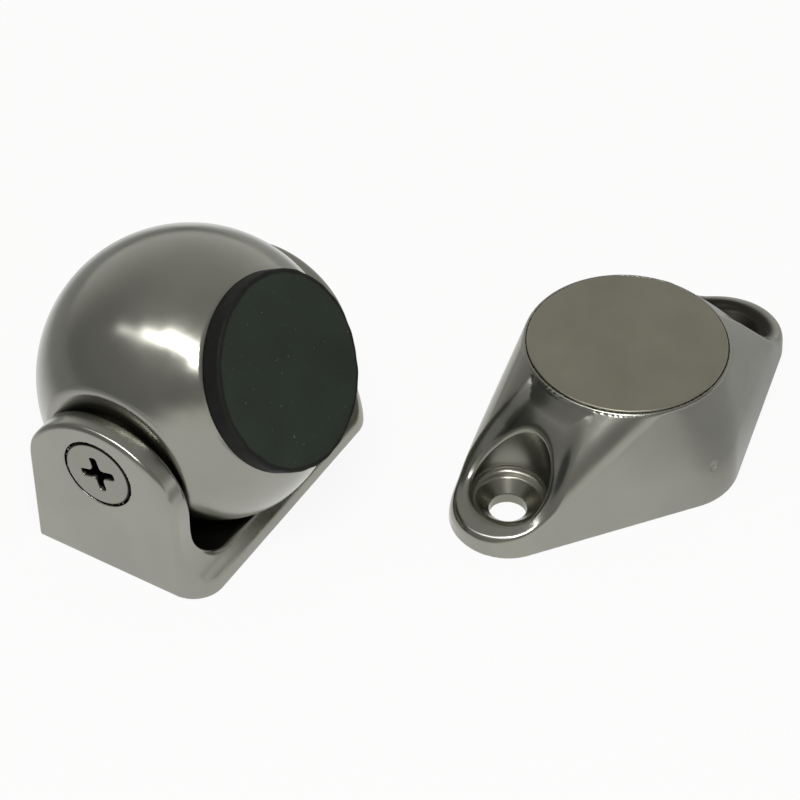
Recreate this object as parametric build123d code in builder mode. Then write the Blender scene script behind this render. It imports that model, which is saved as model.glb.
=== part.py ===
from build123d import *
from math import asin, atan2, cos, degrees, hypot, radians, sin, sqrt
import os

# Magnetic door catch in polished cast steel: a yoke with a tilting ball head that holds the magnet
# behind a rubber pad, and the lozenge-shaped keeper with its strike disc. Lengths are millimetres.
# The origin is under the pivot on the mounting face of the yoke, X runs along the pivot and the
# pad looks towards -Y. Both pieces stand on the plane Z = 0.

# Head
ball_diameter = 45.0
pivot_height = 18.6
pad_tilt = 28.7  # degrees that the pad looks up from level, as the head is set here
front_flat_depth = 5.4  # from the ball's surface in to the flat under the pad
relief_front_angle = 36.5  # degrees below level, from the pivot, where the relief starts in front
relief_rear_angle = 18.0  # degrees below level where it ends behind
relief_gap = 0.5  # between the knuckle and the yoke's floor
knuckle_corner_radius = 6.0

# Pad and magnet
pad_diameter = 29.0
pad_thickness = 2.9
pad_chamfer = 0.35
cup_diameter = 26.0
cup_height = 7.0
cup_wall = 2.0
cup_clearance = 0.05
magnet_clearance = 0.05
magnet_recess = 0.2  # the magnet lies this far below the cup's rim
fixing_thread = 4.0
fixing_head = 7.5
fixing_head_rim = 0.3
fixing_length = 12.0
fixing_clearance = 0.25
fixing_hole_spare = 1.0

# Yoke
yoke_width = 47.2
ear_thickness = 3.8
ear_radius = 13.1
ear_centre_drop = 4.9  # from the pivot down to the centre of the ear's round top
yoke_back = 12.1  # from the pivot to the back face
yoke_front = 17.1  # from the pivot to the front face
floor_thickness = 4.0
foot_radius = 8.0  # of the flare from the ears out to the front edge
foot_edge_height = 2.5  # of the upright part of the front edge
front_corner_radius = 5.0
channel_radius = 6.0  # inner corners between ears and floor
ear_rim_radius = 0.9  # rounding round the outer faces of the ears
base_hole_spacing = 20.0
base_hole_diameter = 4.6
base_countersink_diameter = 8.8

# Pivot screws and washers
pivot_thread = 6.0
pivot_head = 10.9
pivot_head_rim = 0.5
pivot_length = 14.0
pivot_fit = 0.05  # radial clearance of the shank in the ear
pivot_head_gap = 0.25  # radial gap round the head
thread_fit = 0.02
washer_diameter = 14.0
washer_thickness = 0.4
washer_gap = 0.1  # between the washer and the ear
pivot_hole_spare = 1.0
washer_bore_gap = 0.15
recess_reach = 5.7  # across the wings of the cross recess
recess_slot = 1.1
recess_depth = 2.2
recess_turn = 15.0  # degrees that the cross stands away from level
recess_taper = 10.0
fixing_recess_reach = 3.9
fixing_recess_slot = 0.8
fixing_recess_depth = 1.5

# Keeper
keeper_x = 39.9
keeper_y = -51.0
keeper_turn = -13.0  # degrees from the pivot's direction to the keeper's long axis
keeper_height = 18.2
lobe_spacing = 51.4  # between the two screw holes
lobe_radius = 8.7
waist_half_width = 20.3
waist_radius = 11.0
keeper_edge_height = 3.2  # of the upright wall round the base
boss_diameter = 31.2
boss_collar = 0.5  # height of the upright collar round the strike disc
side_strip_turn = 6.0  # degrees of the boss that each straight side of the base leads up to
keeper_hole_diameter = 5.6
keeper_countersink_diameter = 9.4
counterbore_diameter = 12.0
counterbore_floor = 3.8
scoop_depth = 1.2  # how far the recess lies below the flank
scoop_radius = 7.4
scoop_mouth = 10.6  # width of the recess where it meets the boss

# Strike disc
strike_diameter = 30.0
strike_thickness = 3.0
strike_fit = 0.05
strike_edge_radius = 0.25

# Worked out from the above
ball_radius = ball_diameter / 2
ear_inner = yoke_width / 2 - ear_thickness
flat_half = ear_inner - washer_gap - washer_thickness  # the head's flats face the washers
front_flat_reach = ball_radius - front_flat_depth
ear_centre_height = pivot_height - ear_centre_drop
knuckle_radius = pivot_height - floor_thickness - relief_gap
base_centre_y = (yoke_back - yoke_front) / 2
ear_front = ear_radius
pivot_point = (0, 0, pivot_height)
pad_normal = (0, -cos(radians(pad_tilt)), sin(radians(pad_tilt)))
strike_seat_radius = strike_diameter / 2 + strike_fit
pocket_depth = cup_height + cup_clearance
cup_base_reach = front_flat_reach - pocket_depth
magnet_height = cup_height - cup_wall - magnet_recess
magnet_face_reach = cup_base_reach + cup_wall + magnet_height
fixing_hole_depth = fixing_length - magnet_face_reach + cup_base_reach + fixing_hole_spare
pivot_hole_depth = pivot_length - (yoke_width / 2 - flat_half) + pivot_hole_spare
pivot_screw_sizes = (
    pivot_head,
    pivot_head_rim,
    pivot_thread,
    pivot_length,
    recess_reach,
    recess_slot,
    recess_depth,
)
fixing_screw_sizes = (
    fixing_head,
    fixing_head_rim,
    fixing_thread,
    fixing_length,
    fixing_recess_reach,
    fixing_recess_slot,
    fixing_recess_depth,
)


def head_plane(reach):
    """The plane square to the pad's axis at a distance from the ball's centre."""
    start = [pivot_point[i] + reach * pad_normal[i] for i in range(3)]
    return Plane(origin=start, x_dir=(1, 0, 0), z_dir=pad_normal)


def side_plane(reach, side):
    """The plane of the ear on one side, looking outwards."""
    return Plane(origin=(side * reach, 0, pivot_height), x_dir=(0, side, 0), z_dir=(side, 0, 0))


# The yoke is a block bounded by three outlines: from the side, from above and from the front.
foot_reach = yoke_front - ear_front
foot_top = foot_edge_height + sqrt(foot_radius**2 - (foot_radius - foot_reach) ** 2)
with BuildPart() as yoke_bracket:
    with BuildSketch(Plane.YZ.offset(-yoke_width / 2)) as side_view:
        with BuildLine():
            back_top = ear_centre_height + sqrt(ear_radius**2 - yoke_back**2)
            ear_top = ear_centre_height + ear_radius
            Line((yoke_back, 0), (yoke_back, back_top))
            ThreePointArc((yoke_back, back_top), (0, ear_top), (-ear_front, ear_centre_height))
            Line((-ear_front, ear_centre_height), (-ear_front, foot_top))
            RadiusArc((-ear_front, foot_top), (-yoke_front, foot_edge_height), foot_radius)
            Line((-yoke_front, foot_edge_height), (-yoke_front, 0))
            Line((-yoke_front, 0), (yoke_back, 0))
        make_face()
    extrude(amount=yoke_width)
    ear_rims = yoke_bracket.edges().sort_by(Axis.Z)[-2:]
    fillet(ear_rims, ear_rim_radius)
    with BuildSketch(Plane.XY) as plan_view:
        with Locations((0, base_centre_y)):
            Rectangle(yoke_width, yoke_front + yoke_back)
        fillet(plan_view.vertices().group_by(Axis.Y)[0], front_corner_radius)
    extrude(amount=ear_top, mode=Mode.INTERSECT)
    with BuildSketch(Plane.XZ.offset(-yoke_back)) as channel_view:
        with Locations((0, floor_thickness)):
            Rectangle(2 * ear_inner, ear_top, align=(Align.CENTER, Align.MIN))
        fillet(channel_view.vertices().group_by(Axis.Y)[0], channel_radius)
    extrude(amount=yoke_front + yoke_back, mode=Mode.SUBTRACT)
    for side in (-1, 1):
        with BuildSketch(side_plane(yoke_width / 2, side)):
            Circle(pivot_head / 2 + pivot_head_gap)
        extrude(amount=-pivot_head_rim, mode=Mode.SUBTRACT)
        with Locations(side_plane(yoke_width / 2 - pivot_head_rim, side)):
            CounterSinkHole(
                radius=pivot_thread / 2 + pivot_fit,
                counter_sink_radius=pivot_head / 2 + pivot_head_gap,
                depth=ear_thickness,
                counter_sink_angle=90,
            )
    with Locations((0, base_centre_y, floor_thickness)):
        with GridLocations(base_hole_spacing, 0, 2, 1):
            CounterSinkHole(
                radius=base_hole_diameter / 2,
                counter_sink_radius=base_countersink_diameter / 2,
                depth=floor_thickness,
                counter_sink_angle=90,
            )
yoke_bracket.part.label = "yoke_bracket"

# The head is a ball with flats for the ears and the pad. Below the pivot a sector is relieved down
# to a knuckle that turns between the ears, because the ball is larger than the pivot is high.
relief_reach = ball_diameter
front_turn = radians(relief_front_angle)
rear_turn = radians(relief_rear_angle)
with BuildPart() as ball_head:
    with Locations(pivot_point):
        Sphere(ball_radius)
    with BuildSketch(Plane.YZ.offset(-ball_radius)) as relief:
        with BuildLine():
            centre = (0, pivot_height)
            front = (-relief_reach * cos(front_turn), pivot_height - relief_reach * sin(front_turn))
            rear = (relief_reach * cos(rear_turn), pivot_height - relief_reach * sin(rear_turn))
            Polyline(centre, front, (0, pivot_height - 2 * relief_reach), rear, close=True)
        make_face()
    extrude(amount=ball_diameter, mode=Mode.SUBTRACT)
    with BuildSketch(Plane.XZ) as knuckle:
        with Locations((0, pivot_height)):
            Rectangle(2 * flat_half, knuckle_radius, align=(Align.CENTER, Align.MIN))
        fillet(knuckle.vertices().group_by(Axis.Y)[-1], knuckle_corner_radius)
    revolve(axis=Axis(pivot_point, (1, 0, 0)), revolution_arc=360)
    with Locations(pivot_point):
        Box(2 * flat_half, 2 * ball_diameter, 2 * ball_diameter, mode=Mode.INTERSECT)
    with BuildSketch(head_plane(front_flat_reach)):
        Circle(ball_radius)
    extrude(amount=ball_radius, mode=Mode.SUBTRACT)
    with BuildSketch(head_plane(front_flat_reach)):
        Circle(cup_diameter / 2 + cup_clearance)
    extrude(amount=-pocket_depth, mode=Mode.SUBTRACT)
    with BuildSketch(head_plane(cup_base_reach)):
        Circle(fixing_thread / 2 + thread_fit)
    extrude(amount=-fixing_hole_depth, mode=Mode.SUBTRACT)
    for side in (-1, 1):
        with BuildSketch(side_plane(flat_half, side)):
            Circle(pivot_thread / 2 + thread_fit)
        extrude(amount=-pivot_hole_depth, mode=Mode.SUBTRACT)
ball_head.part.label = "ball_head"

# The pad is bonded over the magnet, which sits in a steel cup let into the head.
with BuildPart() as magnet_cup:
    with BuildSketch(head_plane(cup_base_reach)):
        Circle(cup_diameter / 2)
    extrude(amount=cup_height)
    with BuildSketch(head_plane(cup_base_reach + cup_wall)):
        Circle(cup_diameter / 2 - cup_wall)
    extrude(amount=cup_height, mode=Mode.SUBTRACT)
    with BuildSketch(head_plane(cup_base_reach)):
        Circle(fixing_thread / 2 + fixing_clearance)
    extrude(amount=cup_wall, mode=Mode.SUBTRACT)
magnet_cup.part.label = "magnet_cup"

with BuildPart() as magnet_disc:
    with BuildSketch(head_plane(cup_base_reach + cup_wall)):
        Circle(cup_diameter / 2 - cup_wall - magnet_clearance)
    extrude(amount=magnet_height)
    with Locations(head_plane(magnet_face_reach)):
        CounterSinkHole(
            radius=fixing_thread / 2 + fixing_clearance,
            counter_sink_radius=fixing_head / 2 + fixing_clearance + fixing_head_rim,
            depth=magnet_height,
            counter_sink_angle=90,
        )
magnet_disc.part.label = "magnet_disc"

with BuildPart() as rubber_pad:
    with BuildSketch(head_plane(front_flat_reach)):
        Circle(pad_diameter / 2)
    extrude(amount=pad_thickness)
    pad_face = rubber_pad.faces().sort_by(Axis(pivot_point, pad_normal))[-1]
    chamfer(pad_face.edges(), pad_chamfer)
rubber_pad.part.label = "rubber_pad"

# Every screw is turned to one outline and has a tapered cross recess.
screws = {
    "left_pivot_screw": (side_plane(yoke_width / 2, -1), pivot_screw_sizes),
    "right_pivot_screw": (side_plane(yoke_width / 2, 1), pivot_screw_sizes),
    "magnet_screw": (head_plane(magnet_face_reach), fixing_screw_sizes),
}
screw_parts = {}
for screw_name, (face_plane, sizes) in screws.items():
    head, rim, thread, length, reach, slot, depth = sizes
    cone = (head - thread) / 2
    outline_plane = Plane(face_plane.origin, x_dir=face_plane.x_dir, z_dir=-face_plane.y_dir)
    with BuildPart() as screw:
        with BuildSketch(outline_plane):
            with BuildLine():
                Polyline(
                    (0, 0),
                    (head / 2, 0),
                    (head / 2, -rim),
                    (thread / 2, -rim - cone),
                    (thread / 2, -length),
                    (0, -length),
                    close=True,
                )
            make_face()
        revolve(axis=Axis(face_plane.origin, face_plane.z_dir), revolution_arc=360)
        with BuildSketch(face_plane):
            Rectangle(reach, slot, rotation=recess_turn)
            Rectangle(slot, reach, rotation=recess_turn)
        extrude(amount=-depth, taper=recess_taper, mode=Mode.SUBTRACT)
    screw.part.label = screw_name
    screw_parts[screw_name] = screw.part

washer_parts = {}
for washer_name, side in (("left_washer", -1), ("right_washer", 1)):
    with BuildPart() as washer:
        with BuildSketch(side_plane(flat_half, side)):
            Circle(washer_diameter / 2)
            Circle(pivot_thread / 2 + washer_bore_gap, mode=Mode.SUBTRACT)
        extrude(amount=washer_thickness)
    washer.part.label = washer_name
    washer_parts[washer_name] = washer.part

# The keeper's flanks run from the lozenge base up to the round boss. Each ruled strip joins an arc
# or a side of the base to the arc of the boss that faces the same way, so the flanks flow smoothly.
keeper_turn_radians = radians(keeper_turn)
keeper_x_dir = (cos(keeper_turn_radians), sin(keeper_turn_radians), 0)


def keeper_plane(height):
    """The keeper's own level plane at a height, with X along the two lobes."""
    return Plane(origin=(keeper_x, keeper_y, height), x_dir=keeper_x_dir, z_dir=(0, 0, 1))


def polar(centre, radius, angle):
    """A point at an angle on a circle."""
    return (centre[0] + radius * cos(radians(angle)), centre[1] + radius * sin(radians(angle)))


lobe_reach = lobe_spacing / 2
waist_reach = waist_half_width - waist_radius
slant = atan2(waist_reach, lobe_reach) + asin((waist_radius - lobe_radius) / hypot(lobe_reach, waist_reach))
side_facing = 90 - degrees(slant)
boss_radius = boss_diameter / 2
flank_top = keeper_height - boss_collar


base_arcs = [
    ((lobe_reach, 0), lobe_radius, -side_facing, side_facing),
    ((0, waist_reach), waist_radius, side_facing, 180 - side_facing),
    ((-lobe_reach, 0), lobe_radius, 180 - side_facing, 180 + side_facing),
    ((0, -waist_reach), waist_radius, 180 + side_facing, 360 - side_facing),
]

with BuildPart() as keeper_blank:
    with BuildSketch(keeper_plane(0)) as base_outline:
        with BuildLine():
            for number, (centre, radius, start, end) in enumerate(base_arcs):
                angles = (start, (start + end) / 2, end)
                ThreePointArc(*(polar(centre, radius, angle) for angle in angles))
                following = base_arcs[(number + 1) % len(base_arcs)]
                Line(polar(centre, radius, end), polar(*following[:3]))
        make_face()
    extrude(amount=keeper_edge_height)
    with BuildSketch(keeper_plane(keeper_edge_height)):
        add(base_outline.sketch_local)
    with BuildSketch(keeper_plane(flank_top)):
        with BuildLine():
            for _, _, start, end in base_arcs:
                low = start + side_strip_turn / 2
                high = end - side_strip_turn / 2
                for first, last in ((low, high), (high, high + side_strip_turn)):
                    angles = (first, (first + last) / 2, last)
                    ThreePointArc(*(polar((0, 0), boss_radius, angle) for angle in angles))
        make_face()
    loft(ruled=True)
    with BuildSketch(keeper_plane(flank_top)):
        Circle(boss_radius)
    extrude(amount=boss_collar)

# Round each screw hole a recess follows the flank down from the boss, a little below it.
with BuildPart() as scoops:
    for side in (0, 180):
        with BuildSketch(keeper_plane(0)):
            with PolarLocations(lobe_reach, 1, start_angle=side):
                Circle(scoop_radius)
            with PolarLocations(boss_radius, 1, start_angle=side):
                Rectangle(scoop_radius, scoop_mouth)
            make_hull()
            Circle(boss_radius, mode=Mode.SUBTRACT)
        extrude(amount=keeper_height)
    with Locations((0, 0, -scoop_depth)):
        add(keeper_blank.part, mode=Mode.SUBTRACT)

with BuildPart() as keeper_body:
    add(keeper_blank.part)
    add(scoops.part, mode=Mode.SUBTRACT)
    with BuildSketch(keeper_plane(keeper_height)):
        Circle(strike_seat_radius)
    extrude(amount=-strike_thickness, mode=Mode.SUBTRACT)
    with BuildSketch(keeper_plane(counterbore_floor)):
        with PolarLocations(lobe_reach, 2):
            Circle(counterbore_diameter / 2)
    extrude(amount=keeper_height, mode=Mode.SUBTRACT)
    with Locations(keeper_plane(counterbore_floor)):
        with PolarLocations(lobe_reach, 2):
            CounterSinkHole(
                radius=keeper_hole_diameter / 2,
                counter_sink_radius=keeper_countersink_diameter / 2,
                depth=counterbore_floor,
                counter_sink_angle=90,
            )
keeper_body.part.label = "keeper_body"

with BuildPart() as strike_disc:
    with BuildSketch(keeper_plane(keeper_height - strike_thickness)):
        Circle(strike_diameter / 2)
    extrude(amount=strike_thickness)
    fillet(strike_disc.faces().sort_by(Axis.Z)[-1].edges(), strike_edge_radius)
strike_disc.part.label = "strike_disc"

os.makedirs("parts", exist_ok=True)
export_step(yoke_bracket.part, "parts/yoke_bracket.step")
export_step(ball_head.part, "parts/ball_head.step")
export_step(magnet_cup.part, "parts/magnet_cup.step")
export_step(magnet_disc.part, "parts/magnet_disc.step")
export_step(rubber_pad.part, "parts/rubber_pad.step")
export_step(keeper_body.part, "parts/keeper_body.step")
export_step(strike_disc.part, "parts/strike_disc.step")
for name, piece in {**screw_parts, **washer_parts}.items():
    export_step(piece, f"parts/{name}.step")
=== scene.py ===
import math

import bpy
import numpy as np
from mathutils import Matrix, Vector


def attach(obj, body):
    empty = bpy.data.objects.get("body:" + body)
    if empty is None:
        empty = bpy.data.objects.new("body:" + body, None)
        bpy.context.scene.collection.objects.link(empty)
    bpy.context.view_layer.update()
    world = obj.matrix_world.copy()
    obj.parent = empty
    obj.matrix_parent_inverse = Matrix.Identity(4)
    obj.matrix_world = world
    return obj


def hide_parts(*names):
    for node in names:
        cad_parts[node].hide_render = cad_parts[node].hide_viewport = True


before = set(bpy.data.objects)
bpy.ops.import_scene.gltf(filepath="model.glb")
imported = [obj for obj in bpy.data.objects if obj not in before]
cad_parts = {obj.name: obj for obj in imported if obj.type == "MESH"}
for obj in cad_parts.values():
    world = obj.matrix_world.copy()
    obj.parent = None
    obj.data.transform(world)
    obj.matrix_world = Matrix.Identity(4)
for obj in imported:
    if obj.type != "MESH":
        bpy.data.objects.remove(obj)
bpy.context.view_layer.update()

# A door catch in polished cast stainless steel: a ball head that tilts in a yoke, with a rubber pad
# over its magnet, and the lozenge-shaped keeper with a satin strike disc. Shapes are worked out here in
# millimetres, in the frame of the solids, and turned to metres when a mesh is made.

MM = 0.001

# Sizes of the solids that the finer meshes follow
PIVOT_HEIGHT = 18.6
BALL_RADIUS = 22.5
HEAD_HALF_WIDTH = 19.3
PAD_TILT = math.radians(28.7)
PAD_SEAT = 17.1
PAD_RADIUS = 14.5
PAD_THICKNESS = 2.9
CUP_RADIUS = 13.05
CUP_FLOOR = 10.05
RELIEF_FRONT = math.radians(36.5)
RELIEF_REAR = math.radians(18.0)
KNUCKLE_RADIUS = 14.1
KNUCKLE_CORNER = 6.0
YOKE_HALF_WIDTH = 23.6
EAR_INNER = 19.8
EAR_RADIUS = 13.1
EAR_CENTRE = 13.7
YOKE_BACK = 12.1
YOKE_FRONT = 17.1
FLOOR_TOP = 4.0
CORNER_RADIUS = 5.0
CHANNEL_RADIUS = 6.0
FOOT_TOP = 11.6
FOOT_EDGE = 1.0
YOKE_HOLE_RADIUS = 2.3
YOKE_HOLE_SINK = 4.4
YOKE_HOLE_X = 10.0
PIVOT_SEAT_RADIUS = 5.7
PIVOT_SEAT_RIM = 0.5
PIVOT_HOLE_RADIUS = 3.05
SCREW_BORE = 3.02
SCREW_END = 10.6
KEEPER_CENTRE = (39.9, -51.0)
KEEPER_TURN = math.radians(-13.0)
KEEPER_HEIGHT = 18.2
KEEPER_EDGE = 3.2
LOBE_REACH = 25.7
LOBE_RADIUS = 8.7
WAIST_RADIUS = 11.0
WAIST_REACH = 9.3
BOSS_RADIUS = 15.6
BOSS_COLLAR = 0.5
LIP_DROP = 0.2
STRIKE_SEAT = 15.05
STRIKE_THICKNESS = 3.0
KEEPER_HOLE = 2.8
KEEPER_SINK = 4.7
KEEPER_BORE = 6.0
KEEPER_BORE_FLOOR = 3.8
SCOOP_DEPTH = 1.2
SCOOP_RADIUS = 8.0
SCOOP_MOUTH = 6.0
PIT_CENTRE = (33.7, -69.84, 6.69)
PIT_RADIUS = 0.9
FLANK_BLEND = math.radians(8.0)
HEAD_RADIUS = 5.45
HEAD_RIM = 0.5
SHANK_RADIUS = 3.0
SCREW_LENGTH = 14.0
CROSS_REACH = 2.95
CROSS_SLOT = 0.65
CROSS_DEPTH = 2.2
CROSS_TURN = math.radians(15.0)

# Roundings of the edges, and fillets in the corners
EAR_ROUND = 0.9
CHANNEL_ROUND = 0.6
YOKE_BACK_ROUND = 0.5
YOKE_BASE_ROUND = 0.35
PIVOT_SEAT_ROUND = 0.12
YOKE_HOLE_ROUND = 0.15
RELIEF_ROUND = 0.6
KNUCKLE_FILLET = 0.8
FLAT_ROUND = 0.35
PAD_SEAT_ROUND = 0.4
SHARP_EDGE = 0.1
SHOULDER_ROUND = 1.1
SCOOP_MOUTH_ROUND = 0.8
SCOOP_FILLET = 2.4
CREST_ROUND = 1.2
BORE_FILLET = 1.2
BORE_ROUND = 0.8
KEEPER_HOLE_ROUND = 0.2
LIP_ROUND = 0.45
KEEPER_BASE_ROUND = 0.3
PIT_ROUND = 0.3
STRIKE_SEAT_ROUND = 0.05
HEAD_EDGE_ROUND = 0.35
SHANK_ROUND = 0.3
SLOT_END_ROUND = 0.45
CROSS_FILLET = 0.7
CROSS_ROUND = 0.12
PAD_ROUND = 0.45

# The photograph's camera, in metres and millimetres of lens
CAMERA_PLACE = (-0.237179, -0.177688, 0.295305)
CAMERA_HEADING = (0.857806, 0.513973, 0)
CAMERA_DOWN = math.radians(43.678)
CAMERA_LENS = 124.465
CAMERA_SENSOR = 36.0
CAMERA_NEAREST = 0.01


def rounded_overlap(one, other, radius):
    """What two shapes have in common, with the edge between them rounded."""
    corner = np.hypot(np.maximum(one + radius, 0), np.maximum(other + radius, 0))
    return np.minimum(-radius, np.maximum(one, other)) + corner


def rounded_union(one, other, radius):
    """Two shapes joined, with a hollow fillet where they meet."""
    return -rounded_overlap(-one, -other, radius)


def rounded_cut(shape, cutter, radius):
    """A shape less a cutter, with the edge of the cut rounded."""
    return rounded_overlap(shape, -cutter, radius)


def rounded_rectangle(across, up, half_across, low, high, radius):
    """Distance to an upright rectangle with four round corners, in two directions."""
    middle = (low + high) / 2
    side = np.abs(across) - half_across + radius
    top = np.abs(up - middle) - (high - low) / 2 + radius
    outside = np.hypot(np.maximum(side, 0), np.maximum(top, 0))
    return outside + np.minimum(np.maximum(side, top), 0) - radius


def screw_hole(distance, depth, radius, sink_radius, above):
    """Distance to a hole with a 90 degree countersink, depth counted down from the face."""
    cone = np.maximum((distance - sink_radius + depth) * math.sqrt(0.5), -depth - above)
    return np.minimum(distance - radius, cone)


def yoke_field(x, y, z):
    """The yoke: ears with round tops on a floor plate, one casting."""
    across = np.abs(x)
    ear = np.where(z > EAR_CENTRE, np.hypot(y, z - EAR_CENTRE), np.abs(y)) - EAR_RADIUS
    below = FOOT_TOP - z
    foot_reach = YOKE_FRONT - EAR_RADIUS
    foot_radius = ((FOOT_TOP - FOOT_EDGE) ** 2 + foot_reach**2) / (2 * foot_reach)
    flare = foot_radius - np.hypot(-y - EAR_RADIUS - foot_radius, below)
    side_view = np.where(below > 0, flare, ear)
    corner_x = across - YOKE_HALF_WIDTH + CORNER_RADIUS
    corner_y = -y - YOKE_FRONT + CORNER_RADIUS
    plan = np.hypot(np.maximum(corner_x, 0), np.maximum(corner_y, 0))
    plan = plan + np.minimum(np.maximum(corner_x, corner_y), 0) - CORNER_RADIUS
    channel = rounded_rectangle(x, z, EAR_INNER, FLOOR_TOP, 60.0, CHANNEL_RADIUS)
    shape = rounded_overlap(side_view, plan, EAR_ROUND)
    shape = rounded_cut(shape, channel, CHANNEL_ROUND)
    shape = rounded_overlap(shape, y - YOKE_BACK, YOKE_BACK_ROUND)
    shape = rounded_overlap(shape, -z, YOKE_BASE_ROUND)
    from_pivot = np.hypot(y, z - PIVOT_HEIGHT)
    below_face = YOKE_HALF_WIDTH - PIVOT_SEAT_RIM - across
    seat = np.maximum(from_pivot - PIVOT_SEAT_RADIUS, below_face)
    hole = screw_hole(from_pivot, below_face, PIVOT_HOLE_RADIUS, PIVOT_SEAT_RADIUS, 0)
    shape = rounded_cut(shape, np.minimum(seat, hole), PIVOT_SEAT_ROUND)
    middle_y = (YOKE_BACK - YOKE_FRONT) / 2
    from_hole = np.hypot(across - YOKE_HOLE_X, y - middle_y)
    floor_hole = screw_hole(from_hole, FLOOR_TOP - z, YOKE_HOLE_RADIUS, YOKE_HOLE_SINK, 1)
    floor_hole = np.maximum(floor_hole, z - FLOOR_TOP - 1)
    return rounded_cut(shape, floor_hole, YOKE_HOLE_ROUND)


def head_axes(y, z):
    """Distance along the pad's axis from the pivot, and height square to it."""
    up = z - PIVOT_HEIGHT
    along = -y * math.cos(PAD_TILT) + up * math.sin(PAD_TILT)
    square = y * math.sin(PAD_TILT) + up * math.cos(PAD_TILT)
    return along, square


def head_field(x, y, z):
    """The ball head: flats for ears and pad, and a knuckle where the ball is relieved below."""
    across = np.abs(x)
    up = z - PIVOT_HEIGHT
    ball = np.sqrt(x * x + y * y + up * up) - BALL_RADIUS
    front = y * math.sin(RELIEF_FRONT) - up * math.cos(RELIEF_FRONT)
    rear = -y * math.sin(RELIEF_REAR) - up * math.cos(RELIEF_REAR)
    relief = np.maximum(-front, -rear)
    shape = rounded_cut(ball, relief, RELIEF_ROUND)
    from_pivot = np.hypot(y, up)
    knuckle = rounded_rectangle(across, from_pivot, HEAD_HALF_WIDTH, -60.0, KNUCKLE_RADIUS, KNUCKLE_CORNER)
    shape = rounded_union(shape, knuckle, KNUCKLE_FILLET)
    shape = rounded_overlap(shape, across - HEAD_HALF_WIDTH, FLAT_ROUND)
    along, square = head_axes(y, z)
    shape = rounded_overlap(shape, along - PAD_SEAT, PAD_SEAT_ROUND)
    from_axis = np.hypot(x, square)
    pocket = np.maximum(from_axis - CUP_RADIUS, CUP_FLOOR - along)
    pivot_bore = np.maximum(from_pivot - SCREW_BORE, SCREW_END - across)
    return rounded_cut(shape, np.minimum(pocket, pivot_bore), SHARP_EDGE)


def lozenge(x, y, share):
    """Distance to the keeper's outline at a share of the way from its base up to the round boss."""
    x, y = np.abs(x), np.abs(y)
    lobe_x = LOBE_REACH * (1 - share)
    waist_y = WAIST_REACH * (1 - share)
    lobe = LOBE_RADIUS + (BOSS_RADIUS - LOBE_RADIUS) * share
    waist = WAIST_RADIUS + (BOSS_RADIUS - WAIST_RADIUS) * share
    reach = math.hypot(LOBE_REACH, WAIST_REACH)
    slant = math.atan2(WAIST_REACH, LOBE_REACH) + math.asin((WAIST_RADIUS - LOBE_RADIUS) / reach)
    facing_x, facing_y = math.sin(slant), math.cos(slant)
    towards_waist = -x * facing_y + y * facing_x
    past_lobe = towards_waist + lobe_x * facing_y
    past_waist = towards_waist - waist_y * facing_x
    side = (x - lobe_x) * facing_x + y * facing_y - lobe
    round_lobe = np.hypot(x - lobe_x, y) - lobe
    round_waist = np.hypot(x, y - waist_y) - waist
    return np.where(past_lobe < 0, round_lobe, np.where(past_waist > 0, round_waist, side))


def flank_field(x, y, z):
    """The keeper's flanks from the base to the boss, with the soft changes that polishing leaves."""
    share = np.clip((z - KEEPER_EDGE) / (KEEPER_HEIGHT - BOSS_COLLAR - KEEPER_EDGE), -0.2, 1)
    blend = FLANK_BLEND * np.sin(math.pi * np.clip(share, 0, 1))
    total = 0
    for part in (-1, -0.5, 0, 0.5, 1):
        cos_turn, sin_turn = np.cos(blend * part), np.sin(blend * part)
        total = total + lozenge(x * cos_turn - y * sin_turn, x * sin_turn + y * cos_turn, share)
    return rounded_overlap(lozenge(x, y, 0), total / 5 * 0.8, SHOULDER_ROUND)


def keeper_axes(x, y):
    """The keeper's own directions: along its two lobes, and across them."""
    from_x, from_y = x - KEEPER_CENTRE[0], y - KEEPER_CENTRE[1]
    along = from_x * math.cos(KEEPER_TURN) + from_y * math.sin(KEEPER_TURN)
    across = -from_x * math.sin(KEEPER_TURN) + from_y * math.cos(KEEPER_TURN)
    return along, across


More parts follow.
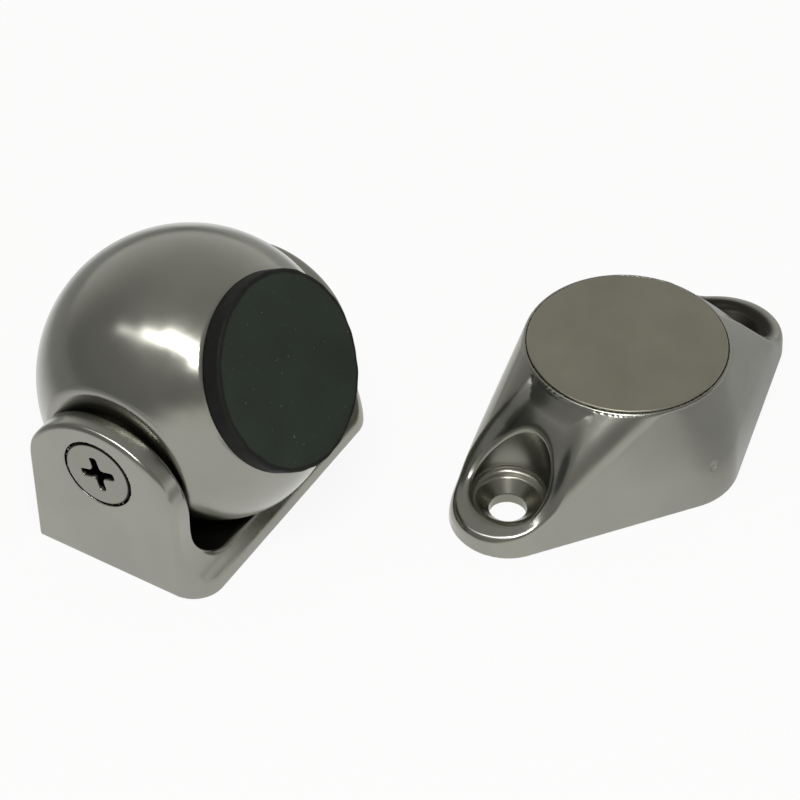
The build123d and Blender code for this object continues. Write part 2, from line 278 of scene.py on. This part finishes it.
def keeper_field(x, y, z):
    """The keeper: a lozenge that rises to a round boss, with a scooped recess at each screw."""
    along, across = keeper_axes(x, y)
    outward = np.abs(along)
    shape = flank_field(along, across, z)
    to_lobe = np.clip((outward - BOSS_RADIUS) / (LOBE_REACH - BOSS_RADIUS), 0, 1)
    beside_hole = np.clip(np.minimum(outward - 18, 32 - outward) / 5, 0, 1)
    bowl = 0.5 * beside_hole**2 * (3 - 2 * beside_hole)
    depth = SCOOP_DEPTH * (0.3 + 0.7 * np.minimum(2 * to_lobe, 1) + bowl)
    lowered = flank_field(along, across, z + depth)
    half_width = SCOOP_MOUTH + (SCOOP_RADIUS - SCOOP_MOUTH) * to_lobe**2 * (3 - 2 * to_lobe)
    scoop = np.hypot(np.maximum(outward - LOBE_REACH, 0), across) - half_width
    scoop = rounded_overlap(scoop, BOSS_RADIUS - 0.2 - np.hypot(along, across), SCOOP_MOUTH_ROUND)
    recess = rounded_overlap(scoop, -lowered, SCOOP_FILLET)
    shape = rounded_cut(shape, recess, CREST_ROUND)
    from_hole = np.hypot(outward - LOBE_REACH, across)
    bore = rounded_overlap(from_hole - KEEPER_BORE, KEEPER_BORE_FLOOR - z, BORE_FILLET)
    shape = rounded_cut(shape, bore, BORE_ROUND)
    hole = screw_hole(from_hole, KEEPER_BORE_FLOOR - z, KEEPER_HOLE, KEEPER_SINK, 1)
    shape = rounded_cut(shape, hole, KEEPER_HOLE_ROUND)
    shape = rounded_overlap(shape, z - KEEPER_HEIGHT + LIP_DROP, LIP_ROUND)
    shape = rounded_overlap(shape, -z, KEEPER_BASE_ROUND)
    from_pit = np.sqrt((x - PIT_CENTRE[0]) ** 2 + (y - PIT_CENTRE[1]) ** 2 + (z - PIT_CENTRE[2]) ** 2)
    shape = rounded_cut(shape, from_pit - PIT_RADIUS, PIT_ROUND)
    seat_floor = KEEPER_HEIGHT - STRIKE_THICKNESS
    seat = np.maximum(np.hypot(along, across) - STRIKE_SEAT, seat_floor - z)
    return rounded_cut(shape, seat, STRIKE_SEAT_ROUND)


def cell_corners(inside):
    """Each grid cell's eight corners, as views of the grid."""
    views = []
    for i in (0, 1):
        for j in (0, 1):
            for k in (0, 1):
                part = inside[i : inside.shape[0] - 1 + i, j : inside.shape[1] - 1 + j]
                views.append(part[:, :, k : inside.shape[2] - 1 + k])
    return views


def settle(points, field, rounds):
    """Moves points onto the surface where the field is zero."""
    nudge = 0.02
    for _ in range(rounds):
        value = field(*points.T)
        slope = np.empty_like(points)
        for axis in range(3):
            step = np.zeros(3)
            step[axis] = nudge
            slope[:, axis] = (field(*(points + step).T) - field(*(points - step).T)) / (2 * nudge)
        size = np.maximum((slope**2).sum(1), 0.05)
        points = points - slope * np.clip(value / size, -0.3, 0.3)[:, None]
    return points, slope


def cast_mesh(name, field, low, high, step):
    """A fine mesh of the surface of a field, between two corners, with a cell size in millimetres."""
    axes = [np.arange(low[i], high[i] + step, step) for i in range(3)]
    grid = np.meshgrid(*axes, indexing="ij", sparse=True)
    values = field(*grid).astype(np.float32)
    inside = values < 0
    count = sum(view.astype(np.int8) for view in cell_corners(inside))
    cells = np.argwhere((count > 0) & (count < 8))
    number = np.full(count.shape, -1, np.int64)
    number[tuple(cells.T)] = np.arange(len(cells))
    points = np.array([axes[i][0] for i in range(3)]) + (cells + 0.5) * step
    points, _ = settle(points, field, 2)
    quads = []
    for axis in range(3):
        first = np.moveaxis(inside, axis, 0)[:-1]
        second = np.moveaxis(inside, axis, 0)[1:]
        crossing = np.moveaxis(first != second, 0, axis)
        starts = np.argwhere(crossing)
        one, two = [i for i in range(3) if i != axis]
        around = []
        for back_one, back_two in ((0, 0), (1, 0), (1, 1), (0, 1)):
            cell = starts.copy()
            cell[:, one] -= back_one
            cell[:, two] -= back_two
            around.append(number[tuple(cell.T)])
        face = np.stack(around, 1)
        leaving = inside[tuple(starts.T)]
        flip = leaving if axis == 1 else ~leaving
        face[flip] = face[flip][:, ::-1]
        quads.append(face)
    quads = np.concatenate(quads)
    for _ in range(2):
        total = np.zeros_like(points)
        weight = np.zeros(len(points))
        for corner in range(4):
            here, following = quads[:, corner], quads[:, (corner + 1) % 4]
            for axis in range(3):
                total[:, axis] += np.bincount(here, points[following, axis], len(points))
                total[:, axis] += np.bincount(following, points[here, axis], len(points))
            weight += np.bincount(here, minlength=len(points)) + np.bincount(following, minlength=len(points))
        points = 0.5 * points + 0.5 * total / weight[:, None]
        points, slope = settle(points, field, 1)
    points, slope = settle(points, field, 2)
    mesh = bpy.data.meshes.new(name)
    mesh.from_pydata((points * MM).tolist(), [], quads.tolist())
    mesh.polygons.foreach_set("use_smooth", np.ones(len(mesh.polygons), bool))
    normals = slope / np.maximum(np.linalg.norm(slope, axis=1), 1e-6)[:, None]
    mesh.normals_split_custom_set_from_vertices(normals.tolist())
    piece = bpy.data.objects.new(name, mesh)
    bpy.context.scene.collection.objects.link(piece)
    return piece


def screw_field(turn):
    """A countersunk screw's field: height runs up out of its face, and the cross stands at a turn."""
    cos_turn, sin_turn = math.cos(turn), math.sin(turn)

    def field(x, y, z):
        radius = np.hypot(x, y)
        head = rounded_overlap(radius - HEAD_RADIUS, z, HEAD_EDGE_ROUND)
        cone = (radius - HEAD_RADIUS - z - HEAD_RIM) * math.sqrt(0.5)
        head = rounded_overlap(head, cone, SHARP_EDGE)
        shank = rounded_overlap(radius - SHANK_RADIUS, -z - SCREW_LENGTH, SHANK_ROUND)
        head = np.maximum(head, -z - HEAD_RIM - HEAD_RADIUS + SHANK_RADIUS)
        shape = np.minimum(head, np.maximum(shank, z + 1))
        one = np.abs(x * cos_turn + y * sin_turn)
        two = np.abs(y * cos_turn - x * sin_turn)
        narrowing = z * math.tan(math.radians(10))
        reach = CROSS_REACH + narrowing
        slot = CROSS_SLOT + narrowing
        first = rounded_overlap(one - reach, two - slot, SLOT_END_ROUND)
        second = rounded_overlap(two - reach, one - slot, SLOT_END_ROUND)
        cross = np.maximum(rounded_union(first, second, CROSS_FILLET), -z - CROSS_DEPTH)
        return rounded_cut(shape, cross, CROSS_ROUND)

    return field


def pad_field(x, y, z):
    """The rubber pad: a disc with a worn, slightly uneven edge."""
    radius = np.hypot(x, y)
    turn = np.arctan2(y, x)
    uneven = 0.05 * np.sin(7 * turn + 1) + 0.04 * np.sin(17 * turn) + 0.03 * np.sin(31 * turn + 2)
    uneven = uneven * np.clip(z / PAD_THICKNESS, 0, 1)
    shape = rounded_overlap(radius - PAD_RADIUS - uneven, z - PAD_THICKNESS, PAD_ROUND)
    return rounded_overlap(shape, -z, SHARP_EDGE)


def placed(piece, origin, right, outward):
    """Turns a mesh made about the Z axis so that Z looks outward, and moves it to its origin."""
    outward = Vector(outward).normalized()
    right = Vector(right).normalized()
    up = outward.cross(right)
    turn = Matrix((right, up, outward)).transposed().to_4x4()
    piece.data.transform(Matrix.Translation(Vector(origin) * MM) @ turn)
    return piece


# Colours and finishes
def linear(hex_colour):
    """An sRGB hex colour as linear RGB."""
    channels = [int(hex_colour[i : i + 2], 16) / 255 for i in (1, 3, 5)]
    return [c / 12.92 if c <= 0.04045 else ((c + 0.055) / 1.055) ** 2.4 for c in channels] + [1.0]


def add_node(tree, kind, inputs=None, **settings):
    """Adds a node; an input that is another node's output is linked, any other value is set."""
    node = tree.nodes.new(kind)
    for name, value in settings.items():
        setattr(node, name, value)
    for name, value in (inputs or {}).items():
        if isinstance(value, bpy.types.NodeSocket):
            tree.links.new(value, node.inputs[name])
        else:
            node.inputs[name].default_value = value
    return node


def new_material(name):
    """An empty material, its node tree and the coordinates of the frame, in metres."""
    material = bpy.data.materials.new(name)
    material.use_nodes = True
    tree = material.node_tree
    tree.nodes.clear()
    place = add_node(tree, "ShaderNodeTexCoord").outputs["Object"]
    return material, tree, place


def finish_material(tree, shader_inputs):
    """Adds the shader and the output."""
    shader = add_node(tree, "ShaderNodeBsdfPrincipled", shader_inputs)
    add_node(tree, "ShaderNodeOutputMaterial", {"Surface": shader.outputs["BSDF"]})


def mottled(tree, place, size_mm, low, high):
    """A soft pattern with patches of a size in millimetres, spread between two values."""
    look = {"Vector": place, "Scale": 1000.0 / size_mm, "Detail": 3.0}
    noise = add_node(tree, "ShaderNodeTexNoise", look).outputs["Fac"]
    ends = {"Value": noise, "From Min": 0.3, "From Max": 0.7, "To Min": low, "To Max": high}
    return add_node(tree, "ShaderNodeMapRange", ends).outputs["Result"]


def soft_mask(tree, *edges):
    """How far a spot lies within soft edges: each is a measure, where it starts and where it is full."""
    share = 1.0
    for measure, start, full in edges:
        ends = {"Value": measure, "From Min": start, "From Max": full}
        within = add_node(tree, "ShaderNodeMapRange", ends, interpolation_type="SMOOTHSTEP").outputs["Result"]
        share = add_node(tree, "ShaderNodeMath", {0: share, 1: within}, operation="MULTIPLY").outputs[0]
    return share


def shaded_channel(tree, place):
    """The yoke's channel under the ball, where painted shade is laid."""
    facing = add_node(tree, "ShaderNodeTexCoord").outputs["Normal"]
    facing = add_node(tree, "ShaderNodeSeparateXYZ", {"Vector": facing})
    spot = add_node(tree, "ShaderNodeSeparateXYZ", {"Vector": place})
    across = add_node(tree, "ShaderNodeMath", {0: spot.outputs["X"]}, operation="ABSOLUTE").outputs[0]
    frontal = add_node(tree, "ShaderNodeMath", {0: facing.outputs["Y"]}, operation="ABSOLUTE").outputs[0]
    between_ears = (across, (EAR_INNER + 0.3) * MM, (EAR_INNER - 0.2) * MM)
    above_plate = (spot.outputs["Z"], 2.6 * MM, 3.4 * MM)
    not_frontal = (frontal, 0.45, 0.25)
    return soft_mask(tree, between_ears, above_plate, not_frontal)


def shaded_inside_ball(tree, place):
    """The head's surfaces that lie deeper than the ball's polished skin, where painted shade is laid."""
    pivot = (0, 0, PIVOT_HEIGHT * MM)
    centred = add_node(tree, "ShaderNodeVectorMath", {0: place, 1: pivot}, operation="SUBTRACT").outputs[0]
    reach = add_node(tree, "ShaderNodeVectorMath", {0: centred}, operation="LENGTH").outputs["Value"]
    return soft_mask(tree, (reach, (BALL_RADIUS - 0.4) * MM, (BALL_RADIUS - 1.2) * MM))


def from_screw_hole(tree, place):
    """How far along the keeper a spot lies, and how far from the axis of the nearer screw hole."""
    centre = (KEEPER_CENTRE[0] * MM, KEEPER_CENTRE[1] * MM, 0)
    moved = add_node(tree, "ShaderNodeVectorMath", {0: place, 1: centre}, operation="SUBTRACT")
    turning = {"Vector": moved.outputs[0], "Angle": -KEEPER_TURN}
    turned = add_node(tree, "ShaderNodeVectorRotate", turning, rotation_type="Z_AXIS")
    spot = add_node(tree, "ShaderNodeSeparateXYZ", {"Vector": turned.outputs[0]})
    outward = add_node(tree, "ShaderNodeMath", {0: spot.outputs["X"]}, operation="ABSOLUTE").outputs[0]
    past_hole = {0: outward, 1: LOBE_REACH * MM}
    past_hole = add_node(tree, "ShaderNodeMath", past_hole, operation="SUBTRACT").outputs[0]
    reach = add_node(tree, "ShaderNodeCombineXYZ", {"X": past_hole, "Y": spot.outputs["Y"]}).outputs[0]
    reach = add_node(tree, "ShaderNodeVectorMath", {0: reach}, operation="LENGTH").outputs["Value"]
    return spot.outputs["X"], reach


def shaded_far_bore(tree, place):
    """The keeper's far recess, where painted shade is laid."""
    along, reach = from_screw_hole(tree, place)
    near_hole = (reach, (KEEPER_BORE + 1.6) * MM, (KEEPER_BORE + 0.2) * MM)
    return soft_mask(tree, near_hole, (along, 0, 5 * MM))


def in_bores(tree, place):
    """The keeper's counterbores, which the mop only brushes."""
    reach = from_screw_hole(tree, place)[1]
    return soft_mask(tree, (reach, (KEEPER_BORE + 0.6) * MM, (KEEPER_BORE - 0.2) * MM))


def polished_cast_steel(name, *duller_and_shaded):
    """Investment-cast 316 stainless, mop polished to a wavy mirror.

    Each zone has a mask, a colour and a roughness: some are duller, and some carry painted shade as a dark
    colour.
    """
    material, tree, place = new_material(name)
    tones = {"Factor": mottled(tree, place, 14.0, 0.0, 1.0), "A": linear("#92928a"), "B": linear("#9b9b92")}
    colour = add_node(tree, "ShaderNodeMix", tones, data_type="RGBA").outputs["Result"]
    roughness = mottled(tree, place, 5.0, 0.17, 0.23)
    for zone, hex_colour, grain in duller_and_shaded:
        share = zone(tree, place)
        tones = {"Factor": share, "A": colour, "B": linear(hex_colour)}
        colour = add_node(tree, "ShaderNodeMix", tones, data_type="RGBA").outputs["Result"]
        grains = {"Factor": share, "A": roughness, "B": grain}
        roughness = add_node(tree, "ShaderNodeMix", grains).outputs["Result"]
    # casting waves about 7 mm long, and mop lines drawn 0.3 mm apart so that they still show
    waves = {"Vector": place, "Scale": 1000.0 / 7.0, "Detail": 1.0}
    waves = add_node(tree, "ShaderNodeTexNoise", waves).outputs["Fac"]
    wavy = {"Height": waves, "Distance": 0.04 * MM, "Strength": 1.0}
    wavy = add_node(tree, "ShaderNodeBump", wavy).outputs["Normal"]
    along = add_node(tree, "ShaderNodeMapping", {"Vector": place, "Scale": (1.0, 0.12, 1.0)})
    lines = {"Vector": along.outputs["Vector"], "Scale": 1000.0 / 0.3, "Detail": 2.0}
    lines = add_node(tree, "ShaderNodeTexNoise", lines).outputs["Fac"]
    marked = {"Height": lines, "Distance": 0.0006 * MM, "Strength": 1.0, "Normal": wavy}
    marked = add_node(tree, "ShaderNodeBump", marked).outputs["Normal"]
    finish_material(tree, {"Base Color": colour, "Metallic": 1.0, "Roughness": roughness, "Normal": marked})
    return material


def turned_screw_steel():
    """Cold-headed A4 screws: duller than the casting, with faint turning rings on the head."""
    material, tree, place = new_material("turned_screw_steel")
    pivot = (0.0, 0.0, -PIVOT_HEIGHT * MM)
    centred = add_node(tree, "ShaderNodeMapping", {"Vector": place, "Location": pivot}).outputs["Vector"]
    # rings 1.9 mm apart, since the pattern turns through 20 radians in one unit
    rings = {"Vector": centred, "Scale": 1000.0 / 0.3 / 20.0, "Distortion": 0.4}
    rings = add_node(tree, "ShaderNodeTexWave", rings, wave_type="RINGS", rings_direction="X").outputs["Fac"]
    ringed = {"Height": rings, "Distance": 0.002 * MM, "Strength": 1.0}
    ringed = add_node(tree, "ShaderNodeBump", ringed).outputs["Normal"]
    # painted shade: the cross and the screw below the yoke's face are painted near black, and a dark ring
    # round the edge of the head is painted shade in the gap
    spot = add_node(tree, "ShaderNodeSeparateXYZ", {"Vector": place})
    across = add_node(tree, "ShaderNodeMath", {0: spot.outputs["X"]}, operation="ABSOLUTE").outputs[0]
    below_face = soft_mask(tree, (across, (YOKE_HALF_WIDTH - 0.3) * MM, (YOKE_HALF_WIDTH - 0.7) * MM))
    tones = {"Factor": below_face, "A": linear("#8f8e86"), "B": linear("#24231f")}
    colour = add_node(tree, "ShaderNodeMix", tones, data_type="RGBA").outputs["Result"]
    flat = add_node(tree, "ShaderNodeVectorMath", {0: centred, 1: (0, 1, 1)}, operation="MULTIPLY").outputs[0]
    from_axis = add_node(tree, "ShaderNodeVectorMath", {0: flat}, operation="LENGTH").outputs["Value"]
    gap_shade = soft_mask(tree, (from_axis, (HEAD_RADIUS - 0.4) * MM, (HEAD_RADIUS - 0.15) * MM))
    tones = {"Factor": gap_shade, "A": colour, "B": linear("#1c1b18")}
    colour = add_node(tree, "ShaderNodeMix", tones, data_type="RGBA").outputs["Result"]
    roughness = mottled(tree, place, 1.5, 0.2, 0.32)
    finish_material(tree, {"Base Color": colour, "Metallic": 1.0, "Roughness": roughness, "Normal": ringed})
    return material


def ground_strike_steel():
    """The strike disc in magnetic stainless, faced on a fine belt: satin, with very fine lines."""
    material, tree, place = new_material("ground_strike_steel")
    turning = {"Vector": place, "Rotation": (0.0, 0.0, -KEEPER_TURN), "Scale": (0.05, 1.0, 1.0)}
    turned = add_node(tree, "ShaderNodeMapping", turning).outputs["Vector"]
    # belt lines drawn 0.25 mm apart, coarser than real ones, so that they still show
    lines = {"Vector": turned, "Scale": 1000.0 / 0.25, "Detail": 3.0}
    lines = add_node(tree, "ShaderNodeTexNoise", lines).outputs["Fac"]
    lined = {"Height": lines, "Distance": 0.004 * MM, "Strength": 1.0}
    lined = add_node(tree, "ShaderNodeBump", lined).outputs["Normal"]
    tones = {"Factor": mottled(tree, place, 8.0, 0.0, 1.0), "A": linear("#8f8c7e"), "B": linear("#989587")}
    colour = add_node(tree, "ShaderNodeMix", tones, data_type="RGBA").outputs["Result"]
    roughness = mottled(tree, place, 2.0, 0.30, 0.38)
    finish_material(tree, {"Base Color": colour, "Metallic": 1.0, "Roughness": roughness, "Normal": lined})
    return material


def moulded_rubber():
    """Black-green nitrile sheet: matt, with a fine grain and a little dust in it."""
    material, tree, place = new_material("moulded_rubber")
    tones = {"Factor": mottled(tree, place, 6.0, 0.0, 1.0), "A": linear("#1d251d"), "B": linear("#252e25")}
    colour = add_node(tree, "ShaderNodeMix", tones, data_type="RGBA").outputs["Result"]
    # painted shade: the pad's edge and side are painted near black, a little unevenly
    pivot = (0, 0, PIVOT_HEIGHT * MM)
    centred = add_node(tree, "ShaderNodeVectorMath", {0: place, 1: pivot}, operation="SUBTRACT").outputs[0]
    turning = {"Vector": centred, "Angle": PAD_TILT}
    turned = add_node(tree, "ShaderNodeVectorRotate", turning, rotation_type="X_AXIS").outputs[0]
    flat = add_node(tree, "ShaderNodeVectorMath", {0: turned, 1: (1, 0, 1)}, operation="MULTIPLY").outputs[0]
    radius = add_node(tree, "ShaderNodeVectorMath", {0: flat}, operation="LENGTH").outputs["Value"]
    wander = mottled(tree, place, 2.5, -0.15 * MM, 0.15 * MM)
    uneven = add_node(tree, "ShaderNodeMath", {0: radius, 1: wander}, operation="ADD").outputs[0]
    edge_shade = soft_mask(tree, (uneven, (PAD_RADIUS - 0.9) * MM, (PAD_RADIUS - 0.5) * MM))
    tones = {"Factor": edge_shade, "A": colour, "B": linear("#090b08")}
    colour = add_node(tree, "ShaderNodeMix", tones, data_type="RGBA").outputs["Result"]
    # specks of dust about half a millimetre apart
    specks = {"Vector": place, "Scale": 1000.0 / 0.5, "Detail": 1.0}
    specks = add_node(tree, "ShaderNodeTexNoise", specks).outputs["Fac"]
    dust = {"Value": specks, "From Min": 0.74, "From Max": 0.80, "To Min": 0.0, "To Max": 0.5}
    dust = add_node(tree, "ShaderNodeMapRange", dust).outputs["Result"]
    tones = {"Factor": dust, "A": colour, "B": linear("#6f766e")}
    colour = add_node(tree, "ShaderNodeMix", tones, data_type="RGBA").outputs["Result"]
    grain = {"Vector": place, "Scale": 1000.0 / 0.35, "Detail": 2.0}
    grain = add_node(tree, "ShaderNodeTexNoise", grain).outputs["Fac"]
    grained = {"Height": grain, "Distance": 0.03 * MM, "Strength": 0.8}
    grained = add_node(tree, "ShaderNodeBump", grained).outputs["Normal"]
    look = {"Base Color": colour, "Roughness": mottled(tree, place, 3.0, 0.6, 0.75)}
    look |= {"Specular IOR Level": 0.3, "Normal": grained}
    finish_material(tree, look)
    return material


def plain_finish(name, hex_dark, hex_light, patch_mm, metallic, roughness_low, roughness_high):
    """A finish with soft patches, for the pieces inside the head."""
    material, tree, place = new_material(name)
    patches = mottled(tree, place, patch_mm, 0.0, 1.0)
    tones = {"Factor": patches, "A": linear(hex_dark), "B": linear(hex_light)}
    colour = add_node(tree, "ShaderNodeMix", tones, data_type="RGBA").outputs["Result"]
    roughness = mottled(tree, place, patch_mm / 2, roughness_low, roughness_high)
    finish_material(tree, {"Base Color": colour, "Metallic": metallic, "Roughness": roughness})
    return material


# painted shade: a dark, matt colour laid where shade falls, in the yoke's channel, inside the ball and in the
# keeper's far recess
matt_painted_shade = ("#35342f", 0.5)
brushed = ("#838278", 0.26)
yoke_steel = polished_cast_steel("polished_yoke_steel", (shaded_channel, *matt_painted_shade))
head_steel = polished_cast_steel("polished_head_steel", (shaded_inside_ball, *matt_painted_shade))
keeper_zones = ((in_bores, *brushed), (shaded_far_bore, *matt_painted_shade))
keeper_steel = polished_cast_steel("polished_keeper_steel", *keeper_zones)
screw_steel = turned_screw_steel()
strike_steel = ground_strike_steel()
rubber = moulded_rubber()
zinc = plain_finish("zinc_plated_steel", "#8f9293", "#a5a8a8", 2.0, 1.0, 0.3, 0.45)
nickel = plain_finish("nickel_plated_magnet", "#a8a49a", "#b5b1a7", 3.0, 1.0, 0.15, 0.25)
acetal = plain_finish("white_acetal", "#d4d1ca", "#dedbd4", 4.0, 0.0, 0.4, 0.5)


def paint(piece, material):
    """Gives a piece one material all over."""
    piece.data.materials.clear()
    piece.data.materials.append(material)


def add_piece(piece, body, node, material):
    """A finer mesh that stands for a node and rides on its body."""
    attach(piece, body)
    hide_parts(node)
    paint(piece, material)


yoke = cast_mesh("yoke_casting", yoke_field, (-24.4, -17.9, -0.8), (24.4, 12.9, 27.6), 0.28)
head = cast_mesh("head_casting", head_field, (-20.1, -23.1, 3.2), (20.1, 23.3, 41.9), 0.35)
keeper = cast_mesh("keeper_casting", keeper_field, (5.4, -72.4, -0.8), (74.4, -29.6, 19.0), 0.3)
add_piece(yoke, "yoke", "yoke_bracket", yoke_steel)
add_piece(head, "head", "ball_head", head_steel)
add_piece(keeper, "yoke", "keeper_body", keeper_steel)

for name, side, node in (("left_screw", -1, "left_pivot_screw"), ("right_screw", 1, "right_pivot_screw")):
    screw = cast_mesh(name, screw_field(CROSS_TURN), (-5.9, -5.9, -14.5), (5.9, 5.9, 0.5), 0.15)
    placed(screw, (side * YOKE_HALF_WIDTH, 0, PIVOT_HEIGHT), (0, side, 0), (side, 0, 0))
    add_piece(screw, "head", node, screw_steel)

pad = cast_mesh("pad_disc", pad_field, (-15.0, -15.0, -0.5), (15.0, 15.0, 3.4), 0.2)
pad_out = (0, -math.cos(PAD_TILT), math.sin(PAD_TILT))
placed(pad, (0, pad_out[1] * PAD_SEAT, PIVOT_HEIGHT + pad_out[2] * PAD_SEAT), (1, 0, 0), pad_out)
add_piece(pad, "head", "rubber_pad", rubber)

for node, material in (
    ("strike_disc", strike_steel),
    ("magnet_cup", zinc),
    ("magnet_disc", nickel),
    ("magnet_screw", zinc),
    ("left_washer", acetal),
    ("right_washer", acetal),
):
    paint(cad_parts[node], material)

# The stage: a white table, a studio room that the metal reflects, and soft lamps
def kinds_of_ray(tree):
    """Whether a ray comes straight from the camera, and whether it comes off metal or through glass."""
    path = add_node(tree, "ShaderNodeLightPath")
    mirrored = {0: path.outputs["Is Glossy Ray"], 1: path.outputs["Is Transmission Ray"]}
    mirrored = add_node(tree, "ShaderNodeMath", mirrored, operation="MAXIMUM").outputs[0]
    return path.outputs["Is Camera Ray"], mirrored


floor_mesh = bpy.data.meshes.new("floor")
floor_mesh.from_pydata([(-3, -3, 0), (3, -3, 0), (3, 3, 0), (-3, 3, 0)], [], [(0, 1, 2, 3)])
floor = bpy.data.objects.new("floor", floor_mesh)
bpy.context.scene.collection.objects.link(floor)
floor.location.z = -0.00005
floor_material, tree, place = new_material("white_table")
from_camera, mirrored = kinds_of_ray(tree)
# painted shade on the table's glow, seen only in the metal: it dims to the right and behind on the left, as
# if dark cards stood there; each dimming has its direction, where it starts and is full in millimetres, and
# the brightness that is left
open_part = 1.0
for heading, start, full, left in (((0.87, -0.5, 0), 50, 90, 0.48), ((-0.26, 0.97, 0), 35, 100, 0.35)):
    reach = add_node(tree, "ShaderNodeVectorMath", {0: place, 1: heading}, operation="DOT_PRODUCT")
    ends = {"Value": reach.outputs["Value"], "From Min": start * MM, "From Max": full * MM}
    ends |= {"To Min": 1.0, "To Max": left}
    lit = add_node(tree, "ShaderNodeMapRange", ends, interpolation_type="SMOOTHSTEP").outputs["Result"]
    open_part = add_node(tree, "ShaderNodeMath", {0: open_part, 1: lit}, operation="MULTIPLY").outputs[0]
level = add_node(tree, "ShaderNodeMath", {0: from_camera, 1: open_part}, operation="MAXIMUM").outputs[0]
seen = add_node(tree, "ShaderNodeMath", {0: from_camera, 1: mirrored}, operation="MAXIMUM").outputs[0]
# a tenth of the table stays matt for the camera, so that it keeps the object's shadow
share = add_node(tree, "ShaderNodeMath", {0: seen, 1: 0.9}, operation="MULTIPLY").outputs[0]
matt = add_node(tree, "ShaderNodeBsdfDiffuse", {"Color": linear("#efefec")}).outputs[0]
glow = add_node(tree, "ShaderNodeEmission", {"Color": (1, 1, 1, 1), "Strength": level}).outputs[0]
table = add_node(tree, "ShaderNodeMixShader", {0: share, 1: matt, 2: glow}).outputs[0]
add_node(tree, "ShaderNodeOutputMaterial", {"Surface": table})
paint(floor, floor_material)

world = bpy.data.worlds.new("studio")
bpy.context.scene.world = world
world.use_nodes = True
tree = world.node_tree
tree.nodes.clear()
direction = add_node(tree, "ShaderNodeTexCoord").outputs["Generated"]
height = add_node(tree, "ShaderNodeSeparateXYZ", {"Vector": direction}).outputs["Z"]


def room_wall(stops):
    """The room's brightness from the horizon up to the ceiling, in steps of height and level."""
    ramp = add_node(tree, "ShaderNodeValToRGB", {"Fac": height})
    while len(ramp.color_ramp.elements) < len(stops):
        ramp.color_ramp.elements.new(0.5)
    for element, (position, level) in zip(ramp.color_ramp.elements, stops):
        element.position = position
        element.color = (level, level * 0.99, level * 0.965, 1)
    return ramp.outputs["Color"]


def looking_towards(turn):
    """How squarely a direction looks to one side of the room, given in degrees from +X."""
    side = (math.cos(math.radians(turn)), math.sin(math.radians(turn)), 0)
    share = add_node(tree, "ShaderNodeVectorMath", {0: direction, 1: side}, operation="DOT_PRODUCT")
    return share.outputs["Value"]


lit_wall = room_wall(((0.0, 0.85), (0.17, 0.74), (0.34, 0.64), (0.64, 0.52), (0.87, 0.5), (1.0, 0.42)))
dim_wall = room_wall(((0.0, 0.28), (0.17, 0.26), (0.34, 0.3), (0.64, 0.32), (0.87, 0.42), (1.0, 0.42)))
far_side = soft_mask(tree, (looking_towards(15), 0.0, 0.8))
walls = {"Factor": far_side, "A": dim_wall, "B": lit_wall}
walls = add_node(tree, "ShaderNodeMix", walls, data_type="RGBA").outputs["Result"]
# a white card stands low on the left front, beyond the pad
front_card = soft_mask(tree, (looking_towards(-125), 0.6, 0.9), (height, 0.42, 0.26))
walls = {"Factor": front_card, "A": walls, "B": linear("#fbfaf6")}
walls = add_node(tree, "ShaderNodeMix", walls, data_type="RGBA").outputs["Result"]
room = add_node(tree, "ShaderNodeBackground", {"Color": walls, "Strength": 1.0}).outputs[0]
white = add_node(tree, "ShaderNodeBackground", {"Color": (1, 1, 1, 1), "Strength": 1.0}).outputs[0]
# metal shows the white backdrop too, as far up and round as it reaches, and the room beyond it
from_camera, mirrored = kinds_of_ray(tree)
backdrop = soft_mask(tree, (height, 0.22, 0.06), (looking_towards(-110), -0.1, 0.5))
backdrop = add_node(tree, "ShaderNodeMath", {0: mirrored, 1: backdrop}, operation="MULTIPLY").outputs[0]
whiteness = add_node(tree, "ShaderNodeMath", {0: from_camera, 1: backdrop}, operation="MAXIMUM").outputs[0]
seen = add_node(tree, "ShaderNodeMixShader", {0: whiteness, 1: room, 2: white}).outputs[0]
add_node(tree, "ShaderNodeOutputWorld", {"Surface": seen})


def add_lamp(name, place, target, width, height, power):
    """A soft rectangular studio lamp that looks at a target, in metres and watts."""
    light = bpy.data.lights.new(name, "AREA")
    light.shape = "RECTANGLE"
    light.size, light.size_y = width, height
    light.energy = power
    lamp = bpy.data.objects.new(name, light)
    bpy.context.scene.collection.objects.link(lamp)
    lamp.location = place
    lamp.rotation_euler = (Vector(target) - Vector(place)).to_track_quat("-Z", "Y").to_euler()


add_lamp("top_strip", (-0.36, -0.2, 0.9), (-0.36, -0.2, 0.0), 0.16, 0.55, 3.6)
add_lamp("strip_middle", (-0.42, 0.2, 0.9), (-0.42, 0.2, 0.0), 0.14, 0.35, 1.0)
add_lamp("strip_tail", (-0.47, 0.6, 0.9), (-0.47, 0.6, 0.0), 0.1, 0.5, 0.4)
add_lamp("front_fill", (-0.107, -0.113, 0.221), (0.02, -0.054, 0.014), 0.04, 0.04, 0.055)

camera_data = bpy.data.cameras.new("camera")
camera_data.lens = CAMERA_LENS
camera_data.sensor_width = CAMERA_SENSOR
camera_data.clip_start = CAMERA_NEAREST
camera = bpy.data.objects.new("camera", camera_data)
bpy.context.scene.collection.objects.link(camera)
camera.location = CAMERA_PLACE
looking = Vector(CAMERA_HEADING) * math.cos(CAMERA_DOWN) - Vector((0, 0, math.sin(CAMERA_DOWN)))
camera.rotation_euler = looking.to_track_quat("-Z", "Y").to_euler()
bpy.context.scene.camera = camera
bpy.context.scene.view_settings.view_transform = "Standard"
